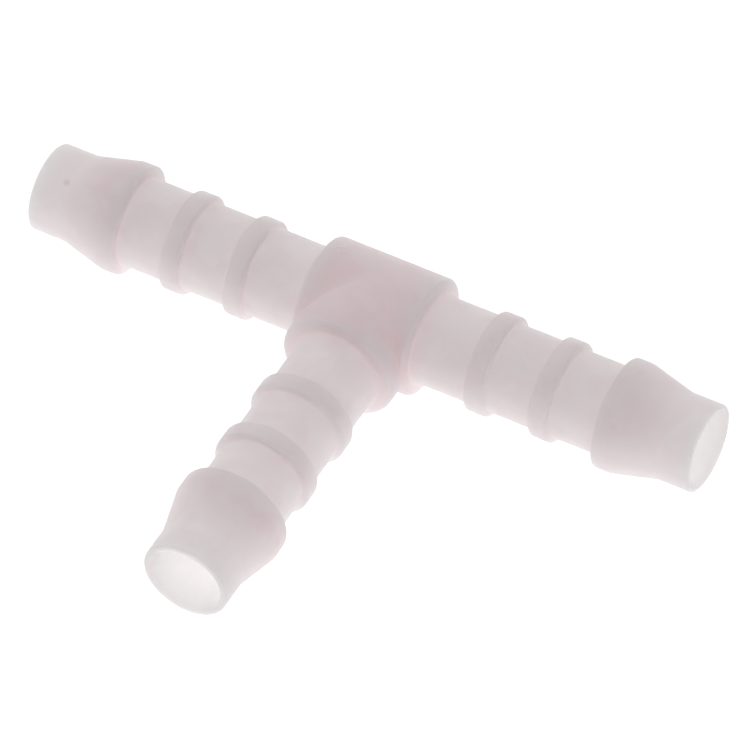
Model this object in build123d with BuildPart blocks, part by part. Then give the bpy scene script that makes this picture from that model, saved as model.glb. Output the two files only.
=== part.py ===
"""Equal barbed tee for 6 mm hose, moulded in one shot from a natural, milky polymer.

The run lies along X and the branch points along -Y. The origin is where the two axes cross, and
+Z is up when the tee lies flat. The moulding is written as four regions that meet face to face:
the hub, and three hose spigots that share one outline. All sizes are in millimetres.
"""

import os

from build123d import *

# Tube that runs through every arm
STEM_DIAMETER = 6.0
WALL = 0.7

# Hub: a drum along the run, and a collar along the branch, of one diameter
HUB_SHOULDER = 1.0           # step from the stem out to the drum and the collar
DRUM_OVERHANG = 0.05         # the drum's ends stand this far past the collar's sides
COLLAR_RISE = 1.05           # the collar's front stands this far in front of the drum
HUB_EDGE_RADIUS = 0.25
ROOT_RADIUS = 0.2            # fillet where a stem leaves the hub
ROOT_STUB = 0.3              # length of stem, with that fillet, that belongs to the hub

# Ribs and end barb: distances run outwards from the face of the hub
RIB_COUNT = 2
RIB_HEIGHT = 0.4
RIB_WIDTH = 1.35
FIRST_RIB = 4.05
RIB_PITCH = 4.65             # rib to rib, and last rib to the end barb's back face
RIB_EDGE_RADIUS = 0.2
RIB_FOOT_RADIUS = 0.1
BARB_HEIGHT = 0.75
BARB_LAND = 1.1
BARB_RAMP = 3.1
BARB_EDGE_RADIUS = 0.2       # on the edge that grips the hose
BARB_SHOULDER_RADIUS = 1.0   # from the land into the ramp
BARB_TOE_RADIUS = 1.5        # from the ramp into the nose

# Nose and mouth
NOSE_RELIEF = 0.025          # the nose is this much smaller than the stem, on the radius
NOSE_LENGTH = 2.4
LIP_WIDTH = 0.375            # from the outside of the nose in to the lead-in
LIP_OUTER_RADIUS = 0.2
LIP_INNER_RADIUS = 0.1
LEAD_IN_DEPTH = 0.8

# Worked out from the sizes above
stem_radius = STEM_DIAMETER / 2
bore_radius = stem_radius - WALL
hub_radius = stem_radius + HUB_SHOULDER
drum_half_length = hub_radius + DRUM_OVERHANG
collar_reach = hub_radius + COLLAR_RISE
rib_radius = stem_radius + RIB_HEIGHT
barb_radius = stem_radius + BARB_HEIGHT
nose_radius = stem_radius - NOSE_RELIEF
mouth_radius = nose_radius - LIP_WIDTH
rib_starts = [FIRST_RIB + number * RIB_PITCH for number in range(RIB_COUNT)]
barb_start = FIRST_RIB + RIB_COUNT * RIB_PITCH
shoulder_place = barb_start + BARB_LAND
toe_place = shoulder_place + BARB_RAMP
lip_place = toe_place + NOSE_LENGTH

# Each way out of the hub: direction, and distance from the origin to the hub's face
LEFT = Vector(-1, 0, 0)
RIGHT = Vector(1, 0, 0)
FORWARD = Vector(0, -1, 0)
UP = Vector(0, 0, 1)
ports = {
    "run_spigot_left": (LEFT, drum_half_length),
    "run_spigot_right": (RIGHT, drum_half_length),
    "branch_spigot": (FORWARD, collar_reach),
}

SMALL = 1e-6                 # two places nearer than this are one


def near(vertices, along, radius):
    """The corners of a half section that stand at this distance along, at this radius."""
    return (
        vertices
        .filter_by_position(Axis.X, along - SMALL, along + SMALL)
        .filter_by_position(Axis.Y, radius - SMALL, radius + SMALL)
    )


def build_hub():
    """Drum, collar, three stubs of stem with their root fillets, and the crossed passages."""
    with BuildPart() as tee_hub:
        with BuildSketch(Plane.YZ.offset(-drum_half_length)):
            Circle(hub_radius)
        extrude(amount=2 * drum_half_length)
        fillet(tee_hub.edges().filter_by(GeomType.CIRCLE), HUB_EDGE_RADIUS)
        with BuildSketch(Plane.XZ):
            Circle(hub_radius)
        extrude(amount=collar_reach)
        fillet(tee_hub.faces().sort_by(Axis.Y)[0].edges(), HUB_EDGE_RADIUS)

        for direction, face in ports.values():
            with BuildSketch(Plane(direction * face, z_dir=direction)):
                Circle(stem_radius)
            extrude(amount=ROOT_STUB)
            hub_face = tee_hub.faces().filter_by(Plane(direction * face, z_dir=direction))
            root = hub_face.sort_by(Axis(Vector(), direction))[-2].inner_wires()[0]
            fillet(root.edges(), ROOT_RADIUS)

        for direction, face in ports.values():
            with BuildSketch(Plane(Vector(), z_dir=direction)):
                Circle(bore_radius)
            extrude(amount=face + ROOT_STUB, mode=Mode.SUBTRACT)
    return tee_hub.part


def build_spigot(direction, face):
    """One ribbed and barbed tube, revolved about the axis of its port."""
    port = Plane(direction * face, x_dir=direction, z_dir=direction.cross(UP))
    with BuildPart() as spigot:
        with BuildSketch(port) as half_section:
            with BuildLine():
                Polyline(
                    (ROOT_STUB, bore_radius),
                    (ROOT_STUB, stem_radius),
                    (barb_start, stem_radius),
                    (barb_start, barb_radius),
                    (shoulder_place, barb_radius),
                    (toe_place, nose_radius),
                    (lip_place, nose_radius),
                    (lip_place, mouth_radius),
                    (lip_place - LEAD_IN_DEPTH, bore_radius),
                    close=True,
                )
            make_face()
            for start in rib_starts:
                with Locations((start, bore_radius)):
                    Rectangle(RIB_WIDTH, rib_radius - bore_radius, align=Align.MIN)

            for start in rib_starts:
                for side in (start, start + RIB_WIDTH):
                    fillet(near(half_section.vertices(), side, rib_radius), RIB_EDGE_RADIUS)
                    fillet(near(half_section.vertices(), side, stem_radius), RIB_FOOT_RADIUS)
            rounded = [
                (barb_start, stem_radius, RIB_FOOT_RADIUS),
                (barb_start, barb_radius, BARB_EDGE_RADIUS),
                (shoulder_place, barb_radius, BARB_SHOULDER_RADIUS),
                (toe_place, nose_radius, BARB_TOE_RADIUS),
                (lip_place, nose_radius, LIP_OUTER_RADIUS),
                (lip_place, mouth_radius, LIP_INNER_RADIUS),
            ]
            for along, radius, rounding in rounded:
                fillet(near(half_section.vertices(), along, radius), rounding)
        revolve(axis=Axis(port.origin, direction))
    return spigot.part


os.makedirs("parts", exist_ok=True)

hub = build_hub()
hub.label = "tee_hub"
export_step(hub, "parts/tee_hub.step")

for name, (direction, face) in ports.items():
    spigot = build_spigot(direction, face)
    spigot.label = name
    export_step(spigot, f"parts/{name}.step")
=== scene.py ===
import math

import bmesh
import bpy
from mathutils import Matrix, Vector


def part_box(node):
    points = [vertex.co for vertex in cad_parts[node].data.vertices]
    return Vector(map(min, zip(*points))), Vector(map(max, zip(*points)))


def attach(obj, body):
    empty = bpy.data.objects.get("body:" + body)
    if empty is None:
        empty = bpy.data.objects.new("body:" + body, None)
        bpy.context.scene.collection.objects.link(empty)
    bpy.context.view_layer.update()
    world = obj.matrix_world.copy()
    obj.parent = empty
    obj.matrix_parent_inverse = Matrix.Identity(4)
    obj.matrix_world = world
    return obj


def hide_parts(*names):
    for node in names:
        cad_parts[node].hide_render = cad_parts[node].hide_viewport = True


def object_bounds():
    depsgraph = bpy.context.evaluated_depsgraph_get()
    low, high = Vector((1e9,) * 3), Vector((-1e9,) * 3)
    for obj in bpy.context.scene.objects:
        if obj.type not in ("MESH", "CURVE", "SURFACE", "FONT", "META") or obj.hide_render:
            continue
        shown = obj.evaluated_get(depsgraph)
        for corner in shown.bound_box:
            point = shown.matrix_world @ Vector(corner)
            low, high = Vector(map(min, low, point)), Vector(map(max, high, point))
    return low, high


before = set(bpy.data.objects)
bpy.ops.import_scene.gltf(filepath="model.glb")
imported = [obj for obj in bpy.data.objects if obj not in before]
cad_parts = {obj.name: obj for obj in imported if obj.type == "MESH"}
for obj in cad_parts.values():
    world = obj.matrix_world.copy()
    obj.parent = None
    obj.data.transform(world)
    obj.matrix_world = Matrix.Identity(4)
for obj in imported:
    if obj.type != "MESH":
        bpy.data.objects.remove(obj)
cad_low, cad_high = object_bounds()

bl_info = {
    "name": "Barbed hose tee",
    "version": (1, 0, 0),
    "blender": (4, 5, 0),
    "location": "3D View > Sidebar > Hose tee",
    "description": "Moulded tee with three hose spigots, in milky polymer, with its studio and camera",
    "category": "Object",
}

BODY = "root"
MM = 0.001

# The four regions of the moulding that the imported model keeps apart
HUB = "tee_hub"
SPIGOTS = ("run_spigot_left", "run_spigot_right", "branch_spigot")
ALONG_RUN = Vector((1, 0, 0))
ALONG_BRANCH = Vector((0, -1, 0))


def size(name, millimetres, description):
    """A length that a user may change, with its default in millimetres."""
    return bpy.props.FloatProperty(
        name=name, description=description, default=millimetres * MM, min=0.0,
        precision=6, unit="LENGTH", subtype="DISTANCE")


def shift(name, millimetres, description):
    """A distance either way that a user may change, with its default in millimetres."""
    return bpy.props.FloatProperty(
        name=name, description=description, default=millimetres * MM, precision=6,
        unit="LENGTH", subtype="DISTANCE")


def share(name, default, description):
    """A number from 0 to 1 that a user may change."""
    return bpy.props.FloatProperty(
        name=name, description=description, default=default, min=0.0, max=1.0, subtype="FACTOR")


def strength(name, default, description):
    """An amount of light that a user may change."""
    return bpy.props.FloatProperty(name=name, description=description, default=default, min=0.0)


def turn(name, degrees, description):
    """An angle that a user may change, with its default in degrees."""
    return bpy.props.FloatProperty(
        name=name, description=description, default=math.radians(degrees),
        subtype="ANGLE", unit="ROTATION")


def colour(name, default, description):
    """A colour that a user may change."""
    return bpy.props.FloatVectorProperty(
        name=name, description=description, default=default, size=3, min=0.0, max=1.0,
        subtype="COLOR")


class HoseTeeSizes(bpy.types.PropertyGroup):
    """Sizes of the moulding. Distances along a spigot run outwards from the face of the hub."""

    stem_diameter: size("Stem", 6.0, "Outside diameter of the tube between the ribs")
    wall: size("Wall", 0.7, "Thickness of the tube")
    root_stub: size("Root stub", 0.3, "Length of stem, with its root fillet, that belongs to the hub")
    root_radius: size("Root fillet", 0.2, "Fillet where a stem leaves the hub")
    hub_shoulder: size("Hub shoulder", 1.0, "Step from the stem out to the hub")
    hub_edge: size("Hub edge", 0.25, "Rounding on the rims of the hub")
    crease_rounding: size("Crease", 0.6, "Most that the crease between drum and collar is rounded")
    first_rib: size("First rib", 4.05, "From the hub to the first rib")
    rib_pitch: size("Rib pitch", 4.65, "From rib to rib, and from the last rib to the end barb")
    rib_width: size("Rib width", 1.35, "Length of a rib along the stem")
    rib_height: size("Rib height", 0.4, "Height of a rib over the stem")
    rib_edge: size("Rib edge", 0.2, "Rounding on the crown of a rib")
    rib_foot: size("Rib foot", 0.1, "Fillet at the foot of a rib and of the end barb")
    barb_height: size("Barb height", 0.75, "Height of the end barb over the stem")
    barb_land: size("Barb land", 1.1, "Cylindrical part of the end barb")
    barb_ramp: size("Barb ramp", 3.1, "Cone from the end barb down to the nose")
    barb_edge: size("Barb edge", 0.2, "Rounding on the edge that grips the hose")
    barb_shoulder: size("Barb shoulder", 1.0, "Rounding from the land into the ramp")
    barb_toe: size("Barb toe", 1.5, "Rounding from the ramp into the nose")
    nose_relief: size("Nose relief", 0.025, "How much smaller the nose is than the stem, on the radius")
    lip_width: size("Lip", 0.375, "From the outside of the nose in to the lead-in")
    lip_outer: size("Lip outside", 0.2, "Rounding on the outside of the lip")
    lip_inner: size("Lip inside", 0.1, "Rounding on the inside of the lip")
    lead_in: size("Lead-in", 0.8, "Depth of the cone inside the mouth")
    mark_diameter: size("Ring mark", 0.9, "Outside diameter of the ring on top of the drum")
    mark_width: size("Ring width", 0.12, "Width of that ring")
    mark_depth: size("Ring depth", 0.04, "Depth of that ring")


class HoseTeeFinish(bpy.types.PropertyGroup):
    """Colour and surface of the polymer."""

    thin: colour("Thin", (0.925, 0.813, 0.82), "Colour where the wall is thinnest, at the lips")
    thick: colour("Thick", (0.945, 0.805, 0.82), "Colour where the polymer is thickest, at the hub")
    # Painted light: the bore's lighter, whiter colour stands in for the glow of light that comes in
    # through the thin walls and the mouths
    bore: colour("Bore", (0.92, 0.88, 0.885), "Colour of the smooth wall of the passages")
    cloud: colour("Cloud", (0.975, 0.96, 0.965), "Tint of the faint clouds that the flow leaves")
    cloud_size: size("Cloud size", 2.6, "Length of a cloud")
    scatter: size("Scatter", 2.4, "How far light wanders inside the polymer")
    roughness: share("Roughness", 0.45, "Roughness of the moulded surface")
    roughness_spread: share("Roughness spread", 0.08, "How far the roughness goes up and down")
    grain_size: size("Grain", 0.22, "Width of the grain that the mould leaves")
    grain_depth: size("Grain depth", 0.003, "Depth of that grain")
    parting_width: size("Parting line", 0.09, "Width of the line where the mould's halves meet")
    parting_height: size("Parting height", 0.012, "Height of that line over the surface")
    speck_size: size("Speck", 0.34, "Reach of the one soft grey speck in the left nose")
    speck_tint: colour("Speck tint", (0.84, 0.81, 0.82), "Tint of that speck")


class HoseTeeStudio(bpy.types.PropertyGroup):
    """Light and camera."""

    floor_glow: strength("Floor", 1.05, "Light that the white floor gives the tee from below")
    sky_light: strength("Sky", 0.33, "Even light from all round")
    sky_lean: bpy.props.FloatVectorProperty(
        name="Lean", description="Direction and amount by which the sky is brighter on one side",
        default=(-0.125, 0.18, 0.30), size=3, subtype="XYZ")
    passage_glow: strength("Passages", 3.4, "Light that has come in through the walls and mouths")
    backdrop: strength("Backdrop", 1.2, "Brightness of the white that the camera sees")
    azimuth: turn("Azimuth", 29.357, "Camera's bearing, from the branch towards the right spigot")
    elevation: turn("Elevation", 49.056, "Camera's height over the floor")
    roll: turn("Roll", -1.127, "Camera's tilt about its line of sight")
    aim_across: shift("Aim across", -0.014, "How far right of the origin the camera aims")
    aim_up: shift("Aim up", -3.789, "How far above the origin the camera aims")
    camera_distance: size("Distance", 600.0, "From the camera to the point it aims at")
    lens: bpy.props.FloatProperty(
        name="Lens", description="Focal length on a full-frame sensor", default=449.8, min=1.0,
        subtype="DISTANCE_CAMERA", unit="CAMERA")


RIB_COUNT = 2
AROUND = 192                      # faces round a full turn
ARC_STEP = math.radians(15)       # turn taken by one face of a rounding
FEWEST_ARC_FACES = 3
CREASE_FROM = math.radians(6)     # the crease is rounded where it is steeper than this
CREASE_FACES = 3
SHARP_FROM = math.radians(30)     # the ring mark's edges are at least this sharp

# In millimetres
WELD = 1e-5                       # ends of a turned outline nearer than this are one
MERGE = 2e-4                      # corners nearer than this after a cut are one
PAST = 1.0                        # how far a cutting tool stands out of what it cuts
MARK_ALONG = -2.8                 # from the branch's axis to the ring mark
LAMP_RADIUS = 0.15
LAMP_INSET = 0.5                  # from a mouth, and from the run's own lamp

MARK_SIDE = Vector((0, 0.243, 0.970)).normalized()
SPECK = Vector((-21.9, -1.29, 2.68)) * MM
SPECK_CORE = 0.1                  # share of the speck's reach that has its full tint

# Shares of the way from the wall of the bore out to the rim of the hub
# These shares spread the painted glow of the bore out into the thin wall's colour
BORE_GLOW_FADE = (0.02, 0.15)          # the bore's colour gives way to the thin wall's
OUTSIDE_FROM = (0.3, 0.35)        # what lies further out is the outside

# Shares of a noise pattern's height
CLOUD_RANGE = (0.4, 0.65)
GRAIN_RANGE = (0.3, 0.7)
NOISE_ROUGHNESS = 0.55
NOISE_SWIRL = 0.4
CLOUD_DETAIL = 3.0
GRAIN_DETAIL = 2.0

# How the polymer bends, throws back and scatters light
BENDING = 1.5
SHEEN_LEVEL = 0.3
SCATTER_BY_COLOUR = (1.0, 0.98, 0.97)

WHITE = (1, 1, 1, 1)
FLOOR_GAP = 0.02 * MM             # keeps the floor clear of the tee
FLOOR_REACH = 1.0                 # metres, from its middle to its edge
SENSOR_WIDTH = 36
NEAREST_SEEN, FURTHEST_SEEN = 0.01, 20


def reach(node, direction):
    """Furthest distance of a node from the crossing of the axes, in millimetres."""
    return max(corner.dot(direction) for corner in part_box(node)) / MM


def half_section(corners):
    """Open wire outline from corners that are (along the axis, out from the axis, rounding)."""
    section = bmesh.new()
    points = [section.verts.new((along, radius, 0)) for along, radius, rounding in corners]
    for first, second in zip(points, points[1:]):
        section.edges.new((first, second))
    for point, (along, radius, rounding) in zip(points, corners):
        if rounding:
            one, other = [edge.other_vert(point).co - point.co for edge in point.link_edges]
            bend = math.pi - one.angle(other)
            bmesh.ops.bevel(
                section, geom=[point], offset=rounding * math.tan(bend / 2), offset_type="OFFSET",
                segments=max(FEWEST_ARC_FACES, round(bend / ARC_STEP)), profile=0.5,
                affect="VERTICES", material=-1)
    return section


def revolve(section, direction):
    """Turns a half section about X into a closed solid, then swings X to a direction."""
    bmesh.ops.spin(
        section, geom=section.verts[:] + section.edges[:], cent=(0, 0, 0), axis=(1, 0, 0),
        dvec=(0, 0, 0), angle=math.tau, steps=AROUND, use_merge=True)
    bmesh.ops.remove_doubles(section, verts=section.verts, dist=WELD)
    bmesh.ops.recalc_face_normals(section, faces=section.faces)
    swing = ALONG_RUN.rotation_difference(direction).to_matrix()
    bmesh.ops.rotate(section, cent=(0, 0, 0), matrix=swing, verts=section.verts)
    return section


def new_object(name, shape):
    """Object from a bmesh, in the bmesh's own unit."""
    mesh = bpy.data.meshes.new(name)
    shape.to_mesh(mesh)
    shape.free()
    piece = bpy.data.objects.new(name, mesh)
    bpy.context.scene.collection.objects.link(piece)
    return piece


def arm_corners(sizes, face, tip):
    """Corners of one arm, from the hub's rim out to the lip and in to the end of the lead-in."""
    stem = sizes.stem_diameter / 2 / MM
    bore = stem - sizes.wall / MM
    rim = stem + sizes.hub_shoulder / MM
    rib = stem + sizes.rib_height / MM
    barb = stem + sizes.barb_height / MM
    nose = stem - sizes.nose_relief / MM
    mouth = nose - sizes.lip_width / MM
    foot, crown = sizes.rib_foot / MM, sizes.rib_edge / MM

    corners = [(face, rim, sizes.hub_edge / MM), (face, stem, sizes.root_radius / MM)]
    for number in range(RIB_COUNT):
        near = face + (sizes.first_rib + number * sizes.rib_pitch) / MM
        far = near + sizes.rib_width / MM
        corners += [(near, stem, foot), (near, rib, crown), (far, rib, crown), (far, stem, foot)]
    back = face + (sizes.first_rib + RIB_COUNT * sizes.rib_pitch) / MM
    shoulder = back + sizes.barb_land / MM
    toe = shoulder + sizes.barb_ramp / MM
    floor = tip - sizes.lead_in / MM
    return corners + [
        (back, stem, foot),
        (back, barb, sizes.barb_edge / MM),
        (shoulder, barb, sizes.barb_shoulder / MM),
        (toe, nose, sizes.barb_toe / MM),
        (tip, nose, sizes.lip_outer / MM),
        (tip, mouth, sizes.lip_inner / MM),
        (floor, bore, 0),
        (floor, 0, 0),
    ]


def combine(target, tool, operation):
    """Unites two solids, or takes the second out of the first."""
    join = target.modifiers.new(operation.title(), "BOOLEAN")
    join.operation = operation
    join.solver = "EXACT"
    join.object = tool
    bpy.context.view_layer.update()
    evaluated = target.evaluated_get(bpy.context.evaluated_depsgraph_get())
    joined = bpy.data.meshes.new_from_object(evaluated)
    target.modifiers.remove(join)
    target.data = joined
    bpy.data.objects.remove(tool)


def rod(name, radius, start, end, direction):
    """Plain round rod, for a passage or a lamp."""
    outline = half_section([(start, 0, 0), (start, radius, 0), (end, radius, 0), (end, 0, 0)])
    return new_object(name, revolve(outline, direction))


def build_moulding(sizes):
    """The whole tee: run and branch united, passages cut, crease rounded, and the ring marked."""
    stub = sizes.root_stub / MM
    run_face, branch_face = reach(HUB, ALONG_RUN) - stub, reach(HUB, ALONG_BRANCH) - stub
    run_tip, branch_tip = reach("run_spigot_right", ALONG_RUN), reach("branch_spigot", ALONG_BRANCH)
    rim = (sizes.stem_diameter / 2 + sizes.hub_shoulder) / MM
    bore = (sizes.stem_diameter / 2 - sizes.wall) / MM

    right = arm_corners(sizes, run_face, run_tip)
    left = [(-along, radius, rounding) for along, radius, rounding in reversed(right)]
    tee = new_object("tee_moulding", revolve(half_section(left + right), ALONG_RUN))
    front = [(0, 0, 0), (0, rim, 0)] + arm_corners(sizes, branch_face, branch_tip)
    combine(tee, new_object("branch", revolve(half_section(front), ALONG_BRANCH)), "UNION")

    passage = rod("run_passage", bore, -run_tip - PAST, run_tip + PAST, ALONG_RUN)
    combine(passage, rod("branch_passage", bore, 0, branch_tip + PAST, ALONG_BRANCH), "UNION")
    combine(tee, passage, "DIFFERENCE")

    shape = bmesh.new()
    shape.from_mesh(tee.data)
    bmesh.ops.remove_doubles(shape, verts=shape.verts, dist=MERGE)
    bmesh.ops.dissolve_degenerate(shape, edges=shape.edges, dist=MERGE)
    on_hub = rim - sizes.hub_edge / MM
    crease = [
        edge for edge in shape.edges
        if edge.calc_face_angle_signed() < -CREASE_FROM
        and all(min(end.co.yz.length, end.co.xz.length) > on_hub for end in edge.verts)]
    bmesh.ops.bevel(
        shape, geom=crease, offset=sizes.crease_rounding / MM, offset_type="OFFSET",
        segments=CREASE_FACES, profile=0.5, affect="EDGES", clamp_overlap=True, material=-1)
    shape.to_mesh(tee.data)
    shape.free()
    mark_ring(tee, sizes, rim)

    tee.data.transform(Matrix.Scale(MM, 4))
    tee.data.shade_smooth()
    sharpen_ring(tee, sizes)
    return tee


def mark_ring(tee, sizes, rim):
    """Shallow ring on top of the drum, as a mould's pin leaves it."""
    outer = sizes.mark_diameter / 2 / MM
    inner = outer - sizes.mark_width / MM
    floor = rim - sizes.mark_depth / MM
    above = rim + PAST
    corners = [(floor, inner), (floor, outer), (above, outer), (above, inner), (floor, inner)]
    outline = half_section([(*corner, 0) for corner in corners])
    ring = new_object("ring", revolve(outline, MARK_SIDE))
    ring.data.transform(Matrix.Translation((MARK_ALONG, 0, 0)))
    combine(tee, ring, "DIFFERENCE")


def sharpen_ring(tee, sizes):
    """Keeps the ring's own edges crisp, so that the drum round it shades evenly."""
    centre = (Vector((MARK_ALONG, 0, 0)) + MARK_SIDE * reach(HUB, Vector((0, 0, 1)))) * MM
    shape = bmesh.new()
    shape.from_mesh(tee.data)
    for edge in shape.edges:
        close = all((end.co - centre).length < sizes.mark_diameter for end in edge.verts)
        if close and edge.calc_face_angle() > SHARP_FROM:
            edge.smooth = False
    shape.to_mesh(tee.data)
    shape.free()


def finish_piece(piece):
    """Even shading, the polymer, and the piece's place in the frame."""
    even = piece.modifiers.new("Even shading", "WEIGHTED_NORMAL")
    even.weight = 100
    even.keep_sharp = True
    piece.data.materials.clear()
    piece.data.materials.append(polymer())
    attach(piece, BODY)
    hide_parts(HUB, *SPIGOTS)


def feed(tree, node, sockets):
    """Gives each of a node's sockets a value, or the output that feeds it."""
    for socket, value in sockets.items():
        if isinstance(value, bpy.types.NodeSocket):
            tree.links.new(value, node.inputs[socket])
        else:
            node.inputs[socket].default_value = value


def put(tree, kind, sockets, **settings):
    """Adds a node, sets it up and feeds its sockets."""
    node = tree.nodes.new("ShaderNode" + kind)
    for name, value in settings.items():
        setattr(node, name, value)
    feed(tree, node, sockets)
    return node


def calculate(tree, operation, first, second=0.0, third=0.0):
    """Result of one sum."""
    return put(tree, "Math", {0: first, 1: second, 2: third}, operation=operation).outputs["Value"]


def spread(tree, value, low, high, start=0.0, end=1.0):
    """Value brought smoothly from the range low to high into the range start to end."""
    sockets = {"Value": value, "From Min": low, "From Max": high, "To Min": start, "To Max": end}
    return put(tree, "MapRange", sockets, interpolation_type="SMOOTHSTEP").outputs["Result"]


def tint(tree, amount, base, other, how="MIX"):
    """Base colour with another colour mixed or multiplied into it."""
    colours = [
        each if isinstance(each, bpy.types.NodeSocket) else (*each, 1) for each in (base, other)]
    sockets = {0: amount, 6: colours[0], 7: colours[1]}
    return put(tree, "Mix", sockets, data_type="RGBA", blend_type=how).outputs[2]


def thickness(tree, place):
    """From 0 at the wall of the bore to 1 at the hub's rim, by distance from the nearest axis."""
    sizes = bpy.context.scene.hose_tee_sizes
    bore = sizes.stem_diameter / 2 - sizes.wall
    hub = sizes.stem_diameter / 2 + sizes.hub_shoulder
    parts = put(tree, "SeparateXYZ", {0: place}).outputs
    behind = calculate(tree, "MAXIMUM", parts["Y"], 0.0)
    off_run = put(tree, "CombineXYZ", {"Y": parts["Y"], "Z": parts["Z"]}).outputs[0]
    off_branch = put(tree, "CombineXYZ", {"X": parts["X"], "Y": behind, "Z": parts["Z"]}).outputs[0]
    lengths = [
        put(tree, "VectorMath", {0: offset}, operation="LENGTH").outputs["Value"]
        for offset in (off_run, off_branch)]
    nearest = calculate(tree, "MINIMUM", *lengths)
    sockets = {"Value": nearest, "From Min": bore, "From Max": hub}
    return put(tree, "MapRange", sockets).outputs["Result"]


def noise(tree, place, width, detail):
    """Soft random pattern whose patches are about this wide."""
    sockets = {
        "Vector": place, "Scale": 1 / width, "Detail": detail, "Roughness": NOISE_ROUGHNESS,
        "Distortion": NOISE_SWIRL}
    return put(tree, "TexNoise", sockets).outputs["Fac"]


def relief(tree, place, wall, grain):
    """Normal of the moulded surface: its grain, and the parting line round it at mid height."""
    finish = bpy.context.scene.hose_tee_finish
    height = put(tree, "SeparateXYZ", {0: place}).outputs["Z"]
    height = calculate(tree, "ABSOLUTE", height)
    line = spread(tree, height, 0.0, finish.parting_width / 2, finish.parting_height, 0.0)
    outside = spread(tree, wall, *OUTSIDE_FROM)
    bumps = calculate(tree, "MULTIPLY", grain, finish.grain_depth)
    bumps = calculate(tree, "MULTIPLY_ADD", line, outside, bumps)
    return put(tree, "Bump", {"Height": bumps, "Distance": 1.0}).outputs["Normal"]


def polymer():
    """Milky polymer that scatters light inside it, with faint clouds, a fine grain and one speck."""
    finish = bpy.context.scene.hose_tee_finish
    material = bpy.data.materials.new("milky_polymer")
    material.use_nodes = True
    tree = material.node_tree
    place = put(tree, "TexCoord", {}).outputs["Object"]
    wall = thickness(tree, place)
    grain = noise(tree, place, finish.grain_size, GRAIN_DETAIL)
    clouds = spread(tree, noise(tree, place, finish.cloud_size, CLOUD_DETAIL), *CLOUD_RANGE)
    speck = put(tree, "VectorMath", {0: place, 1: SPECK}, operation="DISTANCE").outputs["Value"]
    speck = spread(tree, speck, SPECK_CORE * finish.speck_size, finish.speck_size, 1.0, 0.0)

    milk = tint(tree, wall, finish.thin, finish.thick)
    # Painted light: the wall of the passages gets the lighter, whiter bore colour, for the glow of
    # light coming in through the walls and mouths
    milk = tint(tree, spread(tree, wall, *BORE_GLOW_FADE), finish.bore, milk)
    milk = tint(tree, clouds, milk, finish.cloud, "MULTIPLY")
    milk = tint(tree, speck, milk, finish.speck_tint, "MULTIPLY")
    smoothest = finish.roughness - finish.roughness_spread
    roughest = finish.roughness + finish.roughness_spread
    feed(tree, tree.nodes["Principled BSDF"], {
        "Base Color": milk,
        "Roughness": spread(tree, grain, *GRAIN_RANGE, smoothest, roughest),
        "Normal": relief(tree, place, wall, grain),
        "IOR": BENDING,
        "Specular IOR Level": SHEEN_LEVEL,
        "Subsurface Weight": 1.0,
        "Subsurface Radius": SCATTER_BY_COLOUR,
        "Subsurface Scale": finish.scatter,
    })
    return material


class HOSETEE_OT_moulding(bpy.types.Operator):
    """Model the tee: hub, ribbed and barbed spigots, mouths and crossed passages, in one moulding"""

    bl_idname = "hosetee.moulding"
    bl_label = "Moulding"

    def execute(self, context):
        finish_piece(build_moulding(context.scene.hose_tee_sizes))
        return {"FINISHED"}


class HOSETEE_OT_stage(bpy.types.Operator):
    """Set the white floor, the soft light round and inside the tee, and the camera"""

    bl_idname = "hosetee.stage"
    bl_label = "Studio"

    def execute(self, context):
        studio = context.scene.hose_tee_studio
        build_floor(studio)
        build_passage_glow(studio)
        build_world(studio)
        build_camera(studio)
        return {"FINISHED"}


def build_floor(studio):
    """A white sheet that glows softly under the tee, and is clear from below."""
    shape = bmesh.new()
    bmesh.ops.create_grid(shape, x_segments=1, y_segments=1, size=FLOOR_REACH)
    bmesh.ops.translate(shape, vec=(0, 0, cad_low.z - FLOOR_GAP), verts=shape.verts)
    floor = new_object("floor", shape)
    material = bpy.data.materials.new("floor_glow")
    material.use_nodes = True
    tree = material.node_tree
    tree.nodes.clear()
    glow = put(tree, "Emission", {"Strength": studio.floor_glow}).outputs[0]
    white = put(tree, "Emission", {"Strength": studio.backdrop}).outputs[0]
    seen = put(tree, "LightPath", {}).outputs["Is Camera Ray"]
    top = put(tree, "MixShader", {0: seen, 1: glow, 2: white}).outputs[0]
    under = put(tree, "NewGeometry", {}).outputs["Backfacing"]
    clear = put(tree, "BsdfTransparent", {}).outputs[0]
    sheet = put(tree, "MixShader", {0: under, 1: top, 2: clear}).outputs[0]
    put(tree, "OutputMaterial", {"Surface": sheet})
    floor.data.materials.append(material)


def build_passage_glow(studio):
    """Thin unseen lamps along both passages, for light that comes in through walls and mouths."""
    material = bpy.data.materials.new("passage_glow")
    material.use_nodes = True
    tree = material.node_tree
    tree.nodes.clear()
    glow = put(tree, "Emission", {"Strength": studio.passage_glow}).outputs[0]
    put(tree, "OutputMaterial", {"Surface": glow})
    run_end = reach("run_spigot_right", ALONG_RUN) - LAMP_INSET
    branch_end = reach("branch_spigot", ALONG_BRANCH) - LAMP_INSET
    lamps = (
        rod("run_lamp", LAMP_RADIUS, -run_end, run_end, ALONG_RUN),
        rod("branch_lamp", LAMP_RADIUS, LAMP_INSET, branch_end, ALONG_BRANCH))
    for lamp in lamps:
        lamp.data.transform(Matrix.Scale(MM, 4))
        lamp.data.materials.append(material)
        lamp.visible_camera = False
        lamp.visible_glossy = False
        lamp.visible_shadow = False


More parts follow.
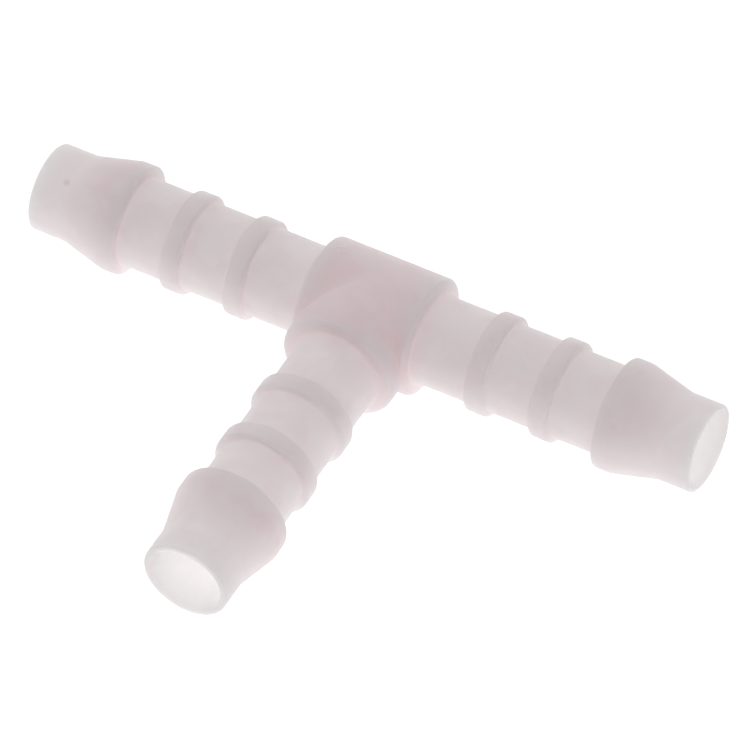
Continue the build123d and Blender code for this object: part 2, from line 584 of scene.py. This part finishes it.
def build_world(studio):
    """Soft light from all round, stronger from one side, in front of a white backdrop."""
    world = bpy.data.worlds.new("studio")
    bpy.context.scene.world = world
    world.use_nodes = True
    tree = world.node_tree
    tree.nodes.clear()
    where = put(tree, "TexCoord", {}).outputs["Generated"]
    lean = put(tree, "VectorMath", {0: where, 1: studio.sky_lean}, operation="DOT_PRODUCT")
    sky = calculate(tree, "ADD", lean.outputs["Value"], studio.sky_light)
    sky = calculate(tree, "MAXIMUM", sky, 0.0)
    light = put(tree, "Background", {"Color": WHITE, "Strength": sky}).outputs[0]
    white = put(tree, "Background", {"Color": WHITE, "Strength": studio.backdrop}).outputs[0]
    seen = put(tree, "LightPath", {}).outputs["Is Camera Ray"]
    both = put(tree, "MixShader", {0: seen, 1: light, 2: white}).outputs[0]
    put(tree, "OutputWorld", {"Surface": both})


def build_camera(studio):
    """Long lens, looking down on the tee from in front and a little to the right."""
    azimuth, elevation = studio.azimuth, studio.elevation
    back = Vector((
        math.sin(azimuth) * math.cos(elevation),
        -math.cos(azimuth) * math.cos(elevation),
        math.sin(elevation)))
    level = Vector((math.cos(azimuth), math.sin(azimuth), 0))
    right = (Matrix.Rotation(studio.roll, 3, back) @ level).normalized()
    up = back.cross(right)
    lens = bpy.data.cameras.new("camera")
    lens.sensor_width = SENSOR_WIDTH
    lens.lens = studio.lens
    lens.clip_start = NEAREST_SEEN
    lens.clip_end = FURTHEST_SEEN
    camera = bpy.data.objects.new("camera", lens)
    bpy.context.scene.collection.objects.link(camera)
    place = Matrix((right, up, back)).transposed().to_4x4()
    place.translation = studio.aim_across * right + studio.aim_up * up + studio.camera_distance * back
    camera.matrix_world = place
    bpy.context.scene.camera = camera
    bpy.context.scene.view_settings.view_transform = "Standard"


class HOSETEE_PT_panel(bpy.types.Panel):
    """Lists the steps that build the tee"""

    bl_idname = "HOSETEE_PT_panel"
    bl_label = "Hose tee"
    bl_space_type = "VIEW_3D"
    bl_region_type = "UI"
    bl_category = "Hose tee"

    def draw(self, context):
        for operator in OPERATORS:
            self.layout.operator(operator.bl_idname)
        scene = context.scene
        for group in (scene.hose_tee_sizes, scene.hose_tee_finish, scene.hose_tee_studio):
            box = self.layout.box()
            for name in group.bl_rna.properties.keys():
                if name not in ("rna_type", "name"):
                    box.prop(group, name)


OPERATORS = (HOSETEE_OT_moulding, HOSETEE_OT_stage)
CLASSES = (HoseTeeSizes, HoseTeeFinish, HoseTeeStudio, *OPERATORS, HOSETEE_PT_panel)


def register():
    for each in CLASSES:
        bpy.utils.register_class(each)
    bpy.types.Scene.hose_tee_sizes = bpy.props.PointerProperty(type=HoseTeeSizes)
    bpy.types.Scene.hose_tee_finish = bpy.props.PointerProperty(type=HoseTeeFinish)
    bpy.types.Scene.hose_tee_studio = bpy.props.PointerProperty(type=HoseTeeStudio)


def unregister():
    del bpy.types.Scene.hose_tee_studio
    del bpy.types.Scene.hose_tee_finish
    del bpy.types.Scene.hose_tee_sizes
    for each in reversed(CLASSES):
        bpy.utils.unregister_class(each)


def main():
    """Builds the tee and its stage."""
    register()
    bpy.ops.hosetee.moulding()
    bpy.ops.hosetee.stage()


if __name__ == "__main__":
    main()
